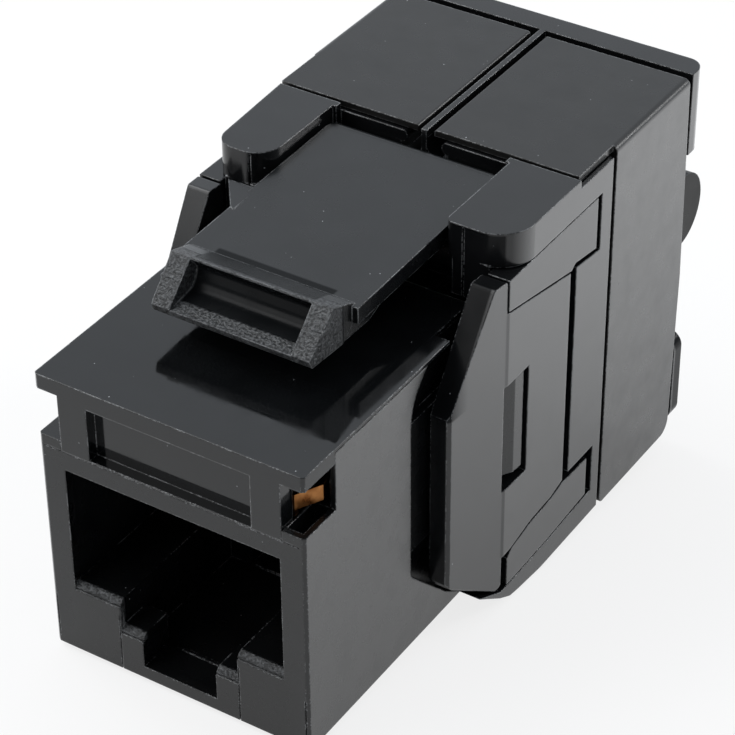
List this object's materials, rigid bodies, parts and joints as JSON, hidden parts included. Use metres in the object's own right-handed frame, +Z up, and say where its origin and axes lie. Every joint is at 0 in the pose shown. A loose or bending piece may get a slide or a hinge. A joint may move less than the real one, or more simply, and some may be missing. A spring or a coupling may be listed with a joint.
{
  "type": "keystone jack",
  "caption": "Black tool-less keystone jack with modular plug port, snap-in panel latch, side clip windows and two swing-up wings over insulation displacement terminals.",
  "frame": {"origin": "middle of the bottom edge of the plug face", "axes": "+X right seen from the plug face, +Y from the plug face to the cable end, +Z up towards the latch"},
  "size_m": [0.0174, 0.0352, 0.0224],
  "materials": {
    "housing_plastic": "satin moulded",
    "shell_plastic": "satin moulded",
    "wing_plastic": "satin moulded",
    "latch_plastic": "satin with textured press face",
    "contact_copper": "copper alloy, gold plated at the plug",
    "terminal_metal": "tin plated bronze",
    "board": "solder mask"
  },
  "bodies": {
    "jack_body": {"socket_housing": "housing_plastic", "contact_insert": "housing_plastic", "contact_1": "contact_copper", "contact_2": "contact_copper", "contact_3": "contact_copper", "contact_4": "contact_copper", "contact_5": "contact_copper", "contact_6": "contact_copper", "contact_7": "contact_copper", "contact_8": "contact_copper", "circuit_board": "board", "terminal_1": "terminal_metal", "terminal_2": "terminal_metal", "terminal_3": "terminal_metal", "terminal_4": "terminal_metal", "terminal_5": "terminal_metal", "terminal_6": "terminal_metal", "terminal_7": "terminal_metal", "terminal_8": "terminal_metal", "terminal_block": "shell_plastic", "body_shell": "shell_plastic"},
    "latch": {"latch_arm": "latch_plastic"},
    "right_wing": {"wing_right": "wing_plastic"},
    "left_wing": {"wing_left": "wing_plastic"}
  },
  "joints": [
    {"name": "latch_press", "type": "hinge", "parent": "jack_body", "child": "latch", "pos_m": [0, 0.0206, 0.0188], "axis": [1, 0, 0], "range_deg": [0, 4.5], "stiffness_Nm_per_rad": 1},
    {"name": "right_wing_hinge", "type": "hinge", "parent": "jack_body", "child": "right_wing", "pos_m": [0.00132, 0.029, 0.01917], "axis": [0, -1, 0], "range_deg": [0, 85]},
    {"name": "left_wing_hinge", "type": "hinge", "parent": "jack_body", "child": "left_wing", "pos_m": [-0.00132, 0.029, 0.01917], "axis": [0, 1, 0], "range_deg": [0, 85]}
  ]
}
